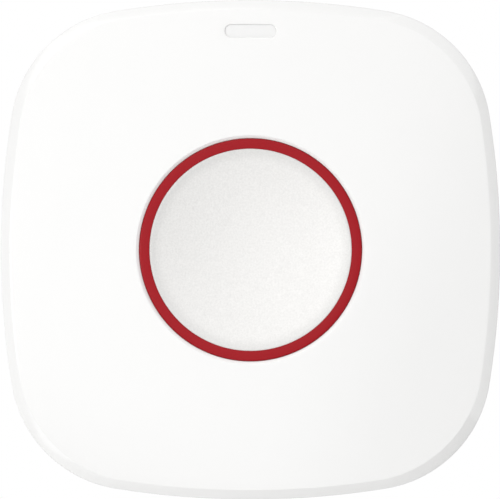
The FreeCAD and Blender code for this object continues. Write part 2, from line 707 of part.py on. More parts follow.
def switch_body():
    body = new_body("switch_body")
    block(body, board_front, "switch_height", "0", "0", "switch_width", "switch_width")
    start = f"({switch_top} - stem_depth - button_travel - stem_play)"
    sketch = at_depth(body, start)
    circle(sketch, "0", "0", "stem_radius + stem_play")
    cut(body, sketch, start, switch_top)
    return body


def switch_frame():
    """Sheet metal over the switch, with four legs down to the board."""
    body = new_body("switch_frame")
    block(body, switch_top, "frame_thick", "0", "0", "switch_width", "switch_width")
    sketch = at_depth(body, switch_top)
    circle(sketch, "0", "0", "stem_radius + 3 * stem_play")
    cut(body, sketch, switch_top, f"({switch_top} + frame_thick)")
    sketch = at_depth(body, board_front)
    for across, up in CORNERS:
        out = f"{across} * (switch_width + frame_thick) / 2"
        rectangle(sketch, out, f"{up} * switch_width / 3", "frame_thick", "frame_leg")
    add(body, sketch, board_front, f"({switch_top} + frame_thick)")
    return body


def switch_stem():
    body = new_body("switch_stem")
    start = f"({switch_top} - stem_depth)"
    sketch = at_depth(body, start)
    circle(sketch, "0", "0", "stem_radius")
    add(body, sketch, start, stem_top)
    return body


def microcontroller():
    body = new_body("microcontroller")
    across, up = CHIP_PLACE
    block(body, board_front, "chip_height", across, up, "chip_width", "chip_width")
    return body


def radio_chip():
    """Eight-leaded chip: body and stepped leads."""
    body = new_body("radio_chip")
    across, up = RADIO_PLACE
    block(body, f"({board_front} + lead_thick)", "radio_height", across, up,
          "radio_width", "radio_depth")
    sketch = at_depth(body, board_front)
    for step in LEAD_STEPS:
        rectangle(sketch, f"{across} + {step} * lead_pitch", up, "lead_across",
                  "(radio_depth + 2 * lead_reach)")
    add(body, sketch, board_front, f"({board_front} + lead_thick)")
    return body


def crystal():
    body = new_body("crystal")
    across, up = CRYSTAL_PLACE
    block(body, board_front, "crystal_height", across, up, "crystal_width", "crystal_depth")
    return body


def small_blocks(label, places, size):
    """Like pieces soldered to the board, each a solid of its own."""
    body = new_body(label)
    sketch = at_depth(body, board_front)
    width, height, thick = size
    for across, up in places:
        rectangle(sketch, across, up, width, height)
    add(body, sketch, board_front, f"({board_front} + {thick})")
    return body


def antenna():
    """Bent metal strip on two legs, slit into a winding path."""
    body = new_body("antenna")
    across, up = ANTENNA_PLACE
    under = f"({ceiling} - antenna_clear - antenna_thick)"
    block(body, under, "antenna_thick", across, up, "antenna_length", "antenna_depth")
    sketch = at_depth(body, under)
    for step in (-2, -1, 0, 1, 2):
        side = 1 if step % 2 else -1
        rectangle(sketch, f"{across} + {step} * antenna_pitch", f"{up} + {side} * antenna_slit",
                  "antenna_slit", "antenna_depth")
    cut(body, sketch, under, f"({under} + antenna_thick)")
    sketch = at_depth(body, board_front)
    for side in (-1, 1):
        middle = f"{across} + {side} * (antenna_length - antenna_thick) / 2"
        rectangle(sketch, middle, up, "antenna_thick", "(antenna_depth / 2)")
    add(body, sketch, board_front, f"({under} + antenna_thick)")
    return body


def coin_cell():
    """Coin cell: can towards the wall, smaller negative lid towards the board."""
    body = new_body("coin_cell")
    lid = "(cell_width - cell_lid) / 8"
    can_front = f"({cell_back} + cell_thick - {lid})"
    sketch = at_depth(body, cell_back)
    circle(sketch, "0", "-cell_place", "cell_width / 2")
    add(body, sketch, cell_back, can_front)
    sketch = at_depth(body, can_front)
    circle(sketch, "0", "-cell_place", "cell_lid / 2")
    add(body, sketch, can_front, f"({cell_back} + cell_thick)")
    return body


def positive_contact():
    """Sheet metal bridge over the cell, with feet on the board."""
    body = new_body("positive_contact")
    sketch = new_sketch(body, "XY_Plane", "-cell_place - strap_width / 2")
    inner = "(cell_width / 2 + strap_side)"
    outer = f"({inner} + strap_thick)"
    foot = f"({outer} + strap_foot)"
    step = f"({board_back} - strap_thick)"
    half = [(foot, board_back), (foot, step), (outer, step), (outer, f"{cell_back} - strap_thick")]
    under = [(inner, cell_back), (inner, board_back)]
    left = [(f"-{across}", depth) for across, depth in half]
    right_under = list(reversed(under))
    left_under = [(f"-{across}", depth) for across, depth in under]
    points = left + list(reversed(half)) + right_under + left_under
    polygon(sketch, [(across, f"-({depth})") for across, depth in points])
    add(body, sketch, "0", "strap_width")
    return body


def negative_contact():
    """Cross of sheet metal between the cell's lid and the board."""
    body = new_body("negative_contact")
    start = f"({cell_back} + cell_thick)"
    sketch = at_depth(body, start)
    arm, reach = "(pad_arm / 2)", "pad_reach"
    quarter = [(reach, f"-{arm}"), (reach, arm), (arm, arm)]
    points = []
    for turn in range(4):
        for across, up in quarter:
            for _ in range(turn):
                across, up = f"-({up})", across
            points.append((across, f"{up} - cell_place"))
    polygon(sketch, points)
    add(body, sketch, start, board_back)
    return body


def screws(label, places, seat, end):
    """Screws driven from the wall side, heads under their seat."""
    body = new_body(label)
    head = f"({seat} - head_height)"
    for radius, start, stop in (("head_radius", head, seat), ("screw_radius", seat, end)):
        sketch = at_depth(body, start)
        for across, up in places:
            circle(sketch, across, up, radius)
        add(body, sketch, start, stop)
    return body


nodes = [
    front_cover(),
    rear_cover(),
    wall_plate(),
    button_ring(),
    button_cap(),
    light_pipe(),
    status_led(),
    circuit_board(),
    switch_body(),
    switch_frame(),
    switch_stem(),
    microcontroller(),
    radio_chip(),
    crystal(),
    small_blocks("capacitors", CAPACITORS, CAPACITOR_SIZE),
    small_blocks("resistors", RESISTORS, RESISTOR_SIZE),
    antenna(),
    coin_cell(),
    positive_contact(),
    negative_contact(),
    screws("board_screws", screw_places, board_back, f"({board_front} + screw_bite)"),
    screws("case_screw", [("0", f"-{case_screw}")], floor_back, f"({floor_front} + screw_bite)"),
]

doc.recompute()
for item in doc.Objects:
    if "Invalid" in item.State or "Error" in item.State:
        raise RuntimeError(f"{item.Name} failed: {item.State}")
for node in nodes:
    if node.Shape.isNull() or not node.Shape.isValid():
        raise RuntimeError(f"{node.Label} has no valid shape")

os.makedirs("parts", exist_ok=True)
for node in nodes:
    node.Shape.exportStep(f"parts/{node.Label}.step")
    print(node.Label, len(node.Shape.Solids), "solids", round(node.Shape.Volume, 1), "mm3")
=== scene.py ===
import math

import bmesh
import bpy
from mathutils import Matrix, Quaternion, Vector
from mathutils.geometry import delaunay_2d_cdt


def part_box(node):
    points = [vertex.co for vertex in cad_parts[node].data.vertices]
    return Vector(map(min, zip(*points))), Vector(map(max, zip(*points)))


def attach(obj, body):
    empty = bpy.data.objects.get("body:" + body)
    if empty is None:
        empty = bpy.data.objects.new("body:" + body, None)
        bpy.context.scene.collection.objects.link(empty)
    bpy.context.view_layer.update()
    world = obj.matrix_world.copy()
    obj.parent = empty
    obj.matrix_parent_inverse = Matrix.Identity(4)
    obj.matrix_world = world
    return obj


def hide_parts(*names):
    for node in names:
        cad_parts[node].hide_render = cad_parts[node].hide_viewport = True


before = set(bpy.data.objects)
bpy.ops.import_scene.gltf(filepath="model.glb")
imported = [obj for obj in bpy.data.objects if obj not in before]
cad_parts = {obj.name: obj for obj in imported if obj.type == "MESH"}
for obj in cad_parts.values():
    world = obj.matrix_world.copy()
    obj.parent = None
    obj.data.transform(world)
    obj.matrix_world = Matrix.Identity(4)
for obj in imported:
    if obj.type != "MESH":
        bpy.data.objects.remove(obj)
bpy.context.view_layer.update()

# Everything below is written in millimetres, as (across, up, depth from the wall),
# and becomes metres when a piece is made. The front faces -Y.
MM = 0.001
TURN = 2 * math.pi
QUARTER = [step * math.pi / 8 for step in range(5)]     # angles of a rounded edge's rows
HUB_RADIUS = 0.02       # last small row round the middle point of a disc
SHARP = 35              # degrees from which an edge is shaded sharp


def limits(node):
    """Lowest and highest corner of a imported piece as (across, up, depth), in millimetres."""
    low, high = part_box(node)
    return (low.x / MM, low.z / MM, -high.y / MM), (high.x / MM, high.z / MM, -low.y / MM)


# Housing: its size comes from its packed box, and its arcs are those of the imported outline
COVER_LOW, COVER_HIGH = limits("front_cover")
HALF_WIDTH = COVER_HIGH[0]
SIDE_RADIUS = 112.5
CORNER_RADIUS = 16.2
CROWN_RADIUS = 300.0
CROWN_TOP = 16.2
RIM_DEPTH = COVER_LOW[2]
BEVEL_NARROW, BEVEL_WIDE = 1.28, 1.55       # across the sides' middles and the corners
BEVEL_DROP = 0.55
EDGE_DROP = 0.15        # rounding between the bevel and the side
SIDE_WALL = 1.8
CEILING = 12.4
PARTING_BREAK = 0.4

# Red ring and cap, placed by their packed boxes
RING_LOW, RING_HIGH = limits("button_ring")
CAP_LOW, CAP_HIGH = limits("button_cap")
RING_RADIUS = 14.45
RING_TRIM, RING_GAP = 0.01, 0.03
RING_EDGE = RING_RADIUS - RING_TRIM
HOLE_RADIUS = RING_EDGE + RING_GAP
HOLE_LEAD, LEAD_DROP = 0.38, 0.3            # bevel round the hole: across and down
CAP_REACH, CAP_GAP = 0.035, 0.01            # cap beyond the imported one, and round it
CAP_RADIUS = CAP_HIGH[0] + CAP_REACH
POCKET_RADIUS = CAP_RADIUS + CAP_GAP
FLANGE_RADIUS = RING_HIGH[1]
KEY_REACH = RING_HIGH[0]
KEY_HALF = 1.8
SKIRT_HEIGHT, FLANGE_THICK, STOP_GAP = 2.6, 1.2, 0.1
CAP_THICK, WEB_THICK = 2.0, 0.8
POST_RADIUS, SKIRT_BORE = 1.3, 13.2
RING_FRONT = RING_HIGH[2]
FLANGE_FRONT = RING_FRONT - SKIRT_HEIGHT
FLANGE_BACK = FLANGE_FRONT - FLANGE_THICK
RECESS_PLAY = 0.3
RECESS_FRONT = FLANGE_FRONT + STOP_GAP
WEB_FRONT = RING_FRONT - CAP_THICK
WEB_BACK = WEB_FRONT - WEB_THICK

# Light slot
PIPE_LOW, PIPE_HIGH = limits("light_pipe")
SLOT_UP = (PIPE_LOW[1] + PIPE_HIGH[1]) / 2
SLOT_LENGTH, SLOT_WIDTH = 6.6, 1.65
SLOT_LIP, SLOT_LEAD = 0.26, 0.17            # rounded edge of the slot: down and across
PIPE_FOOT = 0.9

# Screws, placed by their packed boxes, and the pillars that they bite into
BOARD_SCREWS_HIGH = limits("board_screws")[1]
CASE_SCREW_LOW, CASE_SCREW_HIGH = limits("case_screw")
SCREW_RADIUS, THREAD_ROOT, THREAD_PITCH = 0.95, 0.72, 0.7
HEAD_RADIUS, HEAD_HEIGHT = 1.9, 1.2
SCREW_OUT = BOARD_SCREWS_HIGH[0] - HEAD_RADIUS
SCREW_PLACES = ((-SCREW_OUT, -SCREW_OUT), (SCREW_OUT, SCREW_OUT))
TOWER_UP = CASE_SCREW_LOW[1] + HEAD_RADIUS
TOWER_RADIUS, BOSS_RADIUS = 3.0, 2.6
SCREW_BITE, THREAD_PLAY = 2.8, 0.05

# How near points are that count as one: metres in a mesh made here and in a packed one,
# and millimetres in a flat outline
SAME_SPOT, SAME_CORNER, SAME_PLACE = 1e-7, 1e-6, 1e-5


def crown(across, up):
    """Depth of the crowned face at a place."""
    return CROWN_TOP - CROWN_RADIUS + math.sqrt(CROWN_RADIUS ** 2 - across ** 2 - up ** 2)


class Part:
    """A mesh put together from closed rows of points."""

    def __init__(self, name):
        self.name = name
        self.points = []
        self.faces = []

    def row(self, spots):
        """Adds points and gives back their numbers."""
        start = len(self.points)
        self.points.extend(spots)
        return list(range(start, len(self.points)))

    def band(self, one, other):
        """Four-sided faces between two rows that have as many points."""
        for first in range(len(one)):
            after = (first + 1) % len(one)
            self.faces.append((one[first], one[after], other[after], other[first]))

    def skin(self, rows):
        """Bands through several rows of points. Gives back the first and last row."""
        made = [self.row(spots) for spots in rows]
        for one, other in zip(made, made[1:]):
            self.band(one, other)
        return made[0], made[-1]

    def fan(self, row, centre):
        """Closes a row on one point."""
        hub = self.row([centre])[0]
        for first in range(len(row)):
            self.faces.append((row[first], row[(first + 1) % len(row)], hub))

    def cover(self, rim, holes=(), depth=None, grid=0.0):
        """Triangles inside one row and outside others, lifted to a surface where one is given."""
        rows = [rim, *holes]
        known = [index for row in rows for index in row]
        flat = [Vector(self.points[index][:2]) for index in known]
        edges, start = [], 0
        for row in rows:
            size = len(row)
            edges += [(start + step, start + (step + 1) % size) for step in range(size)]
            start += size
        outlines = [[flat[known.index(index)] for index in row] for row in rows]
        if grid:
            flat += grid_inside(outlines, grid)
        result = delaunay_2d_cdt(flat, edges, [], 0, SAME_PLACE)
        places, triangles, origins = result[0], result[2], result[3]
        level = self.points[rim[0]][2]
        numbers = []
        for place, sources in zip(places, origins):
            old = [source for source in sources if source < len(known)]
            if old:
                numbers.append(known[old[0]])
            else:
                lift = depth(*place) if depth else level
                numbers.append(self.row([(place.x, place.y, lift)])[0])
        for triangle in triangles:
            middle = sum((places[corner] for corner in triangle), Vector((0, 0))) / 3
            in_a_hole = any(inside(middle, hole) for hole in outlines[1:])
            if inside(middle, outlines[0]) and not in_a_hole:
                self.faces.append(tuple(numbers[corner] for corner in triangle))

    def make(self, body, paint, stands_for):
        """Makes the Blender object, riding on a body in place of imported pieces."""
        mesh = bpy.data.meshes.new(self.name)
        mesh.from_pydata([(x * MM, -d * MM, z * MM) for x, z, d in self.points], [], self.faces)
        work = bmesh.new()
        work.from_mesh(mesh)
        bmesh.ops.remove_doubles(work, verts=work.verts, dist=SAME_SPOT)
        bmesh.ops.recalc_face_normals(work, faces=work.faces)
        work.to_mesh(mesh)
        work.free()
        piece = shown(self.name, mesh, paint)
        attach(piece, body)
        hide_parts(*stands_for)


def shown(name, mesh, paint):
    """An object in the scene with its mesh painted, and shaded smooth up to a sharp angle."""
    mesh.shade_smooth()
    mesh.set_sharp_from_angle(angle=math.radians(SHARP))
    mesh.materials.append(paint)
    piece = bpy.data.objects.new(name, mesh)
    bpy.context.scene.collection.objects.link(piece)
    return piece


def inside(place, outline):
    """Whether a flat place lies inside a closed outline."""
    hit = False
    for one, other in zip(outline, outline[1:] + outline[:1]):
        if (one.y > place.y) != (other.y > place.y):
            if place.x < one.x + (other.x - one.x) * (place.y - one.y) / (other.y - one.y):
                hit = not hit
    return hit


def gap_to(place, outline):
    """Distance from a place to an outline's nearest point."""
    return min((place - spot).length for spot in outline)


def grid_inside(outlines, pitch):
    """A triangular grid of places inside the first outline, clear of all of them."""
    line_share, clear_share = 0.866, 0.7
    spots = []
    reach = max(spot.length for spot in outlines[0])
    count = int(reach / pitch) + 1
    for line in range(-count, count + 1):
        for step in range(-count, count + 1):
            shift = 0.5 * (line % 2)
            place = Vector(((step + shift) * pitch, line * pitch * line_share))
            if place.length > reach or not inside(place, outlines[0]):
                continue
            if any(inside(place, hole) for hole in outlines[1:]):
                continue
            if all(gap_to(place, outline) > clear_share * pitch for outline in outlines):
                spots.append(place)
    return spots


# Outline of the housing: where each arc's centre lies
BACK = SIDE_RADIUS - HALF_WIDTH
CORNER_OUT = (math.sqrt(2 * (SIDE_RADIUS - CORNER_RADIUS) ** 2 - BACK ** 2) - BACK) / 2
SIDE_HALF = math.atan2(CORNER_OUT, CORNER_OUT + BACK)


def outline_spots(side_steps=36, corner_steps=48):
    """Points round the housing, each with the way out from it and how near a corner it is."""
    spots = []
    for quarter in range(4):
        turn = quarter * TURN / 4
        out = Vector((math.cos(turn), math.sin(turn)))
        left = Vector((-out.y, out.x))
        for step in range(side_steps):
            angle = turn - SIDE_HALF + 2 * SIDE_HALF * step / side_steps
            way = Vector((math.cos(angle), math.sin(angle)))
            spots.append((out * -BACK + way * SIDE_RADIUS, way, 0.0))
        for step in range(corner_steps):
            share = step / corner_steps
            angle = turn + SIDE_HALF + (TURN / 4 - 2 * SIDE_HALF) * share
            way = Vector((math.cos(angle), math.sin(angle)))
            spot = (out + left) * CORNER_OUT + way * CORNER_RADIUS
            spots.append((spot, way, math.sin(math.pi * share)))
    return spots


OUTLINE = outline_spots()


def eased(corners, steps=4):
    """A line through (a, b, radius) corners with each corner rounded to its radius."""
    line = []
    for index, (a, b, radius) in enumerate(corners):
        spot = Vector((a, b))
        if radius <= 0 or index in (0, len(corners) - 1):
            line.append((a, b))
            continue
        before = (Vector(corners[index - 1][:2]) - spot).normalized()
        after = (Vector(corners[index + 1][:2]) - spot).normalized()
        half = before.angle(after) / 2
        reach = radius / math.tan(half)
        centre = spot + (before + after).normalized() * (radius / math.sin(half))
        first, last = spot + before * reach - centre, spot + after * reach - centre
        sweep = first.angle_signed(last)
        for step in range(steps + 1):
            line.append(tuple(centre + Matrix.Rotation(-sweep * step / steps, 2) @ first))
    return line


def rows_round(section):
    """Rows round the housing, from a line of (inset, depth) worked out at each outline point."""
    columns = []
    for spot, way, corner in OUTLINE:
        line = section(spot, way, corner)
        columns.append([(*(spot - way * inset), depth) for inset, depth in line])
    return [list(row) for row in zip(*columns)]


def ring_of(across, up, radius, depth, count=48):
    """A round row of points."""
    return [(across + radius * math.cos(TURN * step / count),
             up + radius * math.sin(TURN * step / count), depth) for step in range(count)]


def lathe(line, count=192):
    """Rows turned about the button's axis from (radius, depth) pairs."""
    return [ring_of(0, 0, radius, depth, count) for radius, depth in line]


def stadium(grow, depth, count=16):
    """A row round the light slot, moved outwards by grow. The depth may be a surface."""
    radius = SLOT_WIDTH / 2 + grow
    reach = (SLOT_LENGTH - SLOT_WIDTH) / 2
    spots = []
    for side, start in ((1, -0.25), (-1, 0.25)):
        for step in range(count + 1):
            angle = TURN * (start + 0.5 * step / count)
            across = side * reach + radius * math.cos(angle)
            spots.append((across, SLOT_UP + radius * math.sin(angle)))
    if callable(depth):
        return [(x, z, depth(x, z)) for x, z in spots]
    return [(x, z, depth) for x, z in spots]


# Paint

def tree_of(name):
    """A new material, its node tree and its shader."""
    paint = bpy.data.materials.new(name)
    paint.use_nodes = True
    nodes = paint.node_tree.nodes
    return paint, paint.node_tree, nodes["Principled BSDF"]


def group_of(name, inputs, outputs):
    """A node group with named inputs and outputs, and its two end nodes."""
    tree = bpy.data.node_groups.new(name, "ShaderNodeTree")
    for label, value in inputs:
        kind = "NodeSocketColor" if isinstance(value, tuple) else "NodeSocketFloat"
        socket = tree.interface.new_socket(name=label, in_out="INPUT", socket_type=kind)
        socket.default_value = value
    for label, kind in outputs:
        tree.interface.new_socket(name=label, in_out="OUTPUT", socket_type=kind)
    return tree, tree.nodes.new("NodeGroupInput"), tree.nodes.new("NodeGroupOutput")


def add_node(tree, kind, **values):
    """A node with its own values set."""
    node = tree.nodes.new(kind)
    for name, value in values.items():
        setattr(node, name, value)
    return node


def noise(tree, scale, detail=2.0, rough=0.5):
    """Noise in the piece's own space. The scale counts cells in a millimetre."""
    place = add_node(tree, "ShaderNodeTexCoord")
    spots = add_node(tree, "ShaderNodeTexNoise")
    spots.inputs["Detail"].default_value = detail
    spots.inputs["Roughness"].default_value = rough
    tree.links.new(place.outputs["Object"], spots.inputs["Vector"])
    if isinstance(scale, (int, float)):
        spots.inputs["Scale"].default_value = scale / MM
    else:
        tree.links.new(scale, spots.inputs["Scale"])
    return spots


def moulded_surface():
    """Moulded plastic: slight tone changes, uneven gloss and a fine grain."""
    tree, given, gives = group_of(
        "moulded_surface",
        [("Colour", (0.8, 0.8, 0.8, 1.0)), ("Tone change", 0.01), ("Gloss", 0.3),
         ("Gloss change", 0.03), ("Grain size", 1.0), ("Grain height", 0.02),
         ("Grain tone", 0.0)],
        [("Colour", "NodeSocketColor"), ("Roughness", "NodeSocketFloat"),
         ("Normal", "NodeSocketVector")])
    link = tree.links.new
    cloud_cells, low_cloud, high_cloud = 0.06, 0.3, 0.7
    clouds = noise(tree, cloud_cells, detail=2.0)
    swing = add_node(tree, "ShaderNodeMapRange")
    swing.inputs["From Min"].default_value = low_cloud
    swing.inputs["From Max"].default_value = high_cloud
    swing.inputs["To Min"].default_value = -1.0
    link(clouds.outputs["Fac"], swing.inputs["Value"])
    tone = add_node(tree, "ShaderNodeMath", operation="MULTIPLY_ADD")
    tone.inputs[2].default_value = 1.0
    link(swing.outputs["Result"], tone.inputs[0])
    link(given.outputs["Tone change"], tone.inputs[1])
    size = add_node(tree, "ShaderNodeMath", operation="DIVIDE")
    size.inputs[0].default_value = 1 / MM
    link(given.outputs["Grain size"], size.inputs[1])
    grain = noise(tree, size.outputs[0], detail=3.0, rough=0.6)
    off = add_node(tree, "ShaderNodeMath", operation="SUBTRACT")
    off.inputs[1].default_value = 0.5
    link(grain.outputs["Fac"], off.inputs[0])
    speckled = add_node(tree, "ShaderNodeMath", operation="MULTIPLY_ADD")
    link(off.outputs[0], speckled.inputs[0])
    link(given.outputs["Grain tone"], speckled.inputs[1])
    link(tone.outputs[0], speckled.inputs[2])
    tint = add_node(tree, "ShaderNodeVectorMath", operation="SCALE")
    link(given.outputs["Colour"], tint.inputs[0])
    link(speckled.outputs[0], tint.inputs["Scale"])
    link(tint.outputs[0], gives.inputs["Colour"])
    gloss = add_node(tree, "ShaderNodeMath", operation="MULTIPLY_ADD")
    link(swing.outputs["Result"], gloss.inputs[0])
    link(given.outputs["Gloss change"], gloss.inputs[1])
    link(given.outputs["Gloss"], gloss.inputs[2])
    link(gloss.outputs[0], gives.inputs["Roughness"])
    bump = add_node(tree, "ShaderNodeBump")
    height = add_node(tree, "ShaderNodeMath", operation="MULTIPLY")
    height.inputs[1].default_value = MM
    link(given.outputs["Grain height"], height.inputs[0])
    link(height.outputs[0], bump.inputs["Distance"])
    link(grain.outputs["Fac"], bump.inputs["Height"])
    link(bump.outputs["Normal"], gives.inputs["Normal"])
    return tree


MOULDED = moulded_surface()


def moulded(name, colour, gloss=0.35, tone_change=0.01, gloss_change=0.03, grain_size=0.4,
            grain_height=0.004, grain_tone=0.0, coat=0.0, coat_gloss=0.03, **more):
    """A moulded plastic. Heights and sizes of its grain are in millimetres."""
    paint, tree, shader = tree_of(name)
    surface = add_node(tree, "ShaderNodeGroup", node_tree=MOULDED)
    for label, value in (("Colour", (*colour, 1.0)), ("Tone change", tone_change), ("Gloss", gloss),
                         ("Gloss change", gloss_change), ("Grain size", grain_size),
                         ("Grain height", grain_height), ("Grain tone", grain_tone)):
        surface.inputs[label].default_value = value
    tree.links.new(surface.outputs["Colour"], shader.inputs["Base Color"])
    tree.links.new(surface.outputs["Roughness"], shader.inputs["Roughness"])
    tree.links.new(surface.outputs["Normal"], shader.inputs["Normal"])
    shader.inputs["Coat Weight"].default_value = coat
    shader.inputs["Coat Roughness"].default_value = coat_gloss
    for label, value in more.items():
        shader.inputs[label.replace("_", " ")].default_value = value
    return paint


def paint_rim_shade(paint, start, end, share):
    """Painted shade: lets a round piece's paint fall to a share of its tone between two radii,
    standing in for the shade that falls near its rim.
    """
    tree = paint.node_tree
    link = tree.links.new
    shader = tree.nodes["Principled BSDF"]
    colour = shader.inputs["Base Color"].links[0].from_socket
    place = add_node(tree, "ShaderNodeTexCoord")
    flat = add_node(tree, "ShaderNodeVectorMath", operation="MULTIPLY")
    flat.inputs[1].default_value = (1.0, 0.0, 1.0)      # leaves the depth out
    link(place.outputs["Object"], flat.inputs[0])
    reach = add_node(tree, "ShaderNodeVectorMath", operation="LENGTH")
    link(flat.outputs[0], reach.inputs[0])
    fall = add_node(tree, "ShaderNodeMapRange", interpolation_type="SMOOTHSTEP")
    for label, value in (("From Min", start * MM), ("From Max", end * MM),
                         ("To Min", 1.0), ("To Max", share)):
        fall.inputs[label].default_value = value
    link(reach.outputs["Value"], fall.inputs["Value"])
    tint = add_node(tree, "ShaderNodeVectorMath", operation="SCALE")
    link(colour, tint.inputs[0])
    link(fall.outputs["Result"], tint.inputs["Scale"])
    link(tint.outputs[0], shader.inputs["Base Color"])


HOUSING = moulded("housing_white", (0.90, 0.898, 0.89), gloss=0.30, tone_change=0.004,
                  gloss_change=0.02, grain_height=0.0, coat=1.0, coat_gloss=0.02)
PLATE = moulded("plate_white", (0.86, 0.855, 0.845), gloss=0.5, grain_height=0.01)
RED = moulded("ring_red", (0.35, 0.003, 0.009), gloss=0.35, tone_change=0.01, grain_size=0.25,
              grain_height=0.004, grain_tone=0.2, Specular_IOR_Level=0.2)
CAP = moulded("cap_pearl", (0.765, 0.758, 0.745), gloss=0.40, tone_change=0.01,
              grain_size=0.25, grain_height=0.03, grain_tone=0.25, Metallic=0.28)
# Painted shade: the cap's colour darkens towards its rim, standing in for the shade where the
# ring's edge meets it.
paint_rim_shade(CAP, start=11.3, end=CAP_RADIUS, share=0.88)
PIPE = moulded("pipe_milky", (0.895, 0.895, 0.89), gloss=0.3, grain_height=0.002)
GREEN = moulded("board_green", (0.03, 0.17, 0.08), gloss=0.3, tone_change=0.05,
                grain_height=0.006)
BLACK = moulded("moulding_black", (0.03, 0.03, 0.032), gloss=0.5, tone_change=0.1,
                grain_height=0.01)
CERAMIC = moulded("ceramic_brown", (0.35, 0.26, 0.18), gloss=0.4, tone_change=0.08)
LENS = moulded("lens_resin", (0.85, 0.82, 0.62), gloss=0.2, grain_height=0.0)
STEEL = moulded("steel_bright", (0.70, 0.69, 0.67), gloss=0.28, grain_size=0.15,
                grain_height=0.004, Metallic=1.0)
CELL = moulded("cell_plated", (0.78, 0.77, 0.76), gloss=0.22, grain_size=0.3,
               grain_height=0.004, Metallic=1.0)
ZINC = moulded("screw_zinc", (0.62, 0.64, 0.67), gloss=0.3, grain_size=0.1,
               grain_height=0.004, Metallic=1.0)


def front_cover():
    """Crowned shell with a bevel round its face, a round button hole and the light slot."""
    part = Part("front_shell")
    strip, ceiling_strip = 0.6, 1
    bevel_ease, edge_ease, parting_ease, foot_ease, root_ease = 0.35, 0.25, 0.15, 0.1, 0.5

    def section(spot, way, corner):
        """From the face over the bevel, down the side and up the inside to the ceiling."""
        width = BEVEL_NARROW + (BEVEL_WIDE - BEVEL_NARROW) * corner
        edge = spot - way * width
        step_in = spot - way * (width + strip)
        return eased([
            (width + strip, crown(*step_in), 0), (width, crown(*edge), bevel_ease),
            (0, crown(*spot) - BEVEL_DROP - EDGE_DROP, edge_ease),
            (0, RIM_DEPTH + PARTING_BREAK, parting_ease), (PARTING_BREAK, RIM_DEPTH, foot_ease),
            (SIDE_WALL, RIM_DEPTH, foot_ease), (SIDE_WALL, CEILING, root_ease),
            (SIDE_WALL + ceiling_strip, CEILING, 0),
        ])

    face_rim, ceiling_rim = part.skin(rows_round(section))
    wide, apron, ledge = 2 * HOLE_LEAD, 0.4, 0.6
    lead_ease, recess_ease = 0.08, 0.05
    lip = eased([
        (HOLE_RADIUS + wide + apron, crown(HOLE_RADIUS + wide + apron, 0), 0),
        (HOLE_RADIUS + HOLE_LEAD, crown(HOLE_RADIUS + HOLE_LEAD, 0), lead_ease),
        (HOLE_RADIUS, crown(HOLE_RADIUS, 0) - LEAD_DROP, lead_ease),
        (HOLE_RADIUS, RECESS_FRONT, recess_ease), (HOLE_RADIUS + ledge, RECESS_FRONT, 0),
    ])
    hole_rim, recess_hole = part.skin(lathe(lip))
    slot_rows = []
    for angle in QUARTER:
        drop = SLOT_LIP * (1 - math.cos(angle))
        slot_rows.append(stadium(SLOT_LEAD * (1 - math.sin(angle)),
                                 lambda x, z, drop=drop: crown(x, z) - drop))
    slot_rows.append(stadium(0, CEILING))
    slot_rim, slot_foot = part.skin(slot_rows)
    part.cover(face_rim, (hole_rim, slot_rim), crown, grid=1.0)

    recess = keyed_row(FLANGE_RADIUS + RECESS_PLAY, KEY_REACH + RECESS_PLAY,
                       KEY_HALF + RECESS_PLAY, CEILING)
    recess_rim, recess_top = part.skin([recess, [(x, z, RECESS_FRONT) for x, z, _ in recess]])
    part.cover(recess_top, (recess_hole,))
    part.cover(ceiling_rim, (recess_rim, slot_foot))
    for across, up in SCREW_PLACES:
        pillar(part, across, up, BOSS_RADIUS, BOARD_SCREWS_HIGH[2] - SCREW_BITE)
    pillar(part, 0, TOWER_UP, TOWER_RADIUS, CASE_SCREW_HIGH[2] - SCREW_BITE)
    part.make("housing", HOUSING, stands_for=("front_cover",))


def pillar(part, across, up, radius, foot):
    """A round pillar under the ceiling, with a blind hole for a screw's thread."""
    hole = SCREW_RADIUS + THREAD_PLAY
    sunk, foot_ease, mouth, past_tip, drill_point = 0.2, 0.15, 0.2, 0.1, 0.3
    line = eased([
        (radius, CEILING + sunk, 0), (radius, foot, foot_ease),
        (hole + mouth, foot, 0), (hole, foot + mouth, 0),
        (hole, foot + SCREW_BITE + past_tip, past_tip),
        (HUB_RADIUS, foot + SCREW_BITE + drill_point, 0)])
    top, bottom = part.skin([ring_of(across, up, r, depth) for r, depth in line])
    part.fan(bottom, (across, up, foot + SCREW_BITE + drill_point))
    part.fan(top, (across, up, CEILING + sunk))


def keyed_row(radius, reach, half, depth, count=60):
    """A round row with a square-ended notch on each side for the ring's keys."""
    start = math.asin(half / radius)
    row = []
    for side in (0, math.pi):
        for step in range(count + 1):
            angle = start + (math.pi - 2 * start) * step / count
            row.append((radius * math.cos(angle + side), radius * math.sin(angle + side), depth))
        sign = -1 if side == 0 else 1
        row += [(sign * reach, -sign * half, depth), (sign * reach, sign * half, depth)]
    return row


